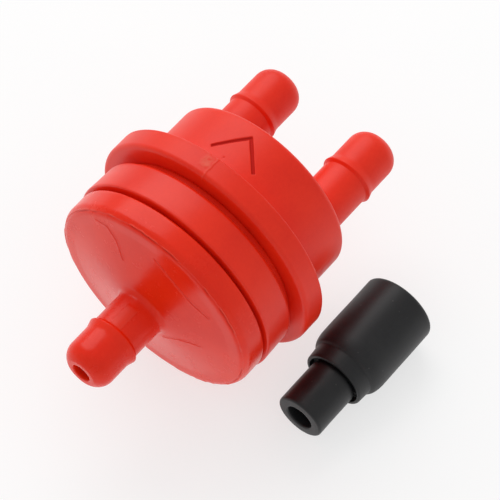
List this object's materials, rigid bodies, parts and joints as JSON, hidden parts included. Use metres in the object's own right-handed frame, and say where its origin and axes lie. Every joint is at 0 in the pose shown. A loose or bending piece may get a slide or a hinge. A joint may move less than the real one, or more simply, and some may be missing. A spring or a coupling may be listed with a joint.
{
  "type": "fuel filter",
  "caption": "Round in-line fuel filter, a hose barb in and two hose barbs out, with a loose rubber step-down adapter beside it.",
  "frame": {"origin": "on the filter's axis, at the middle of the plain round band behind the flange", "axes": "+X the way the fuel flows, from the inlet to the outlets; +Y through the two outlets; +Z through the engraved flow arrow"},
  "size_m": [0.0531, 0.0459, 0.0361],
  "materials": {
    "red_nylon_cover": "moulded red nylon, semi-gloss",
    "red_nylon_drum": "moulded red nylon, semi-gloss",
    "red_nylon_housing": "moulded red nylon, semi-gloss",
    "white_nylon": "moulded, natural",
    "filter_paper": "resin-treated pleated paper",
    "gasket_rubber": "flat nitrile rubber",
    "adapter_rubber": "moulded black rubber, satin",
    "nozzle_rubber": "extruded black rubber tube, satin"
  },
  "bodies": {
    "filter": {"inlet_cover": "red_nylon_cover", "drum": "red_nylon_drum", "outlet_housing": "red_nylon_housing", "element_inlet_cap": "white_nylon", "pleated_element": "filter_paper", "element_core": "white_nylon", "element_outlet_cap": "white_nylon", "element_gasket": "gasket_rubber"},
    "adapter": {"adapter_cuff": "adapter_rubber", "adapter_nozzle": "nozzle_rubber"}
  },
  "joints": [
    {"name": "adapter_lift", "type": "slide", "parent": "filter", "child": "adapter", "axis": [0, -0.5, 0.866], "range_m": [0, 0.045]}
  ]
}
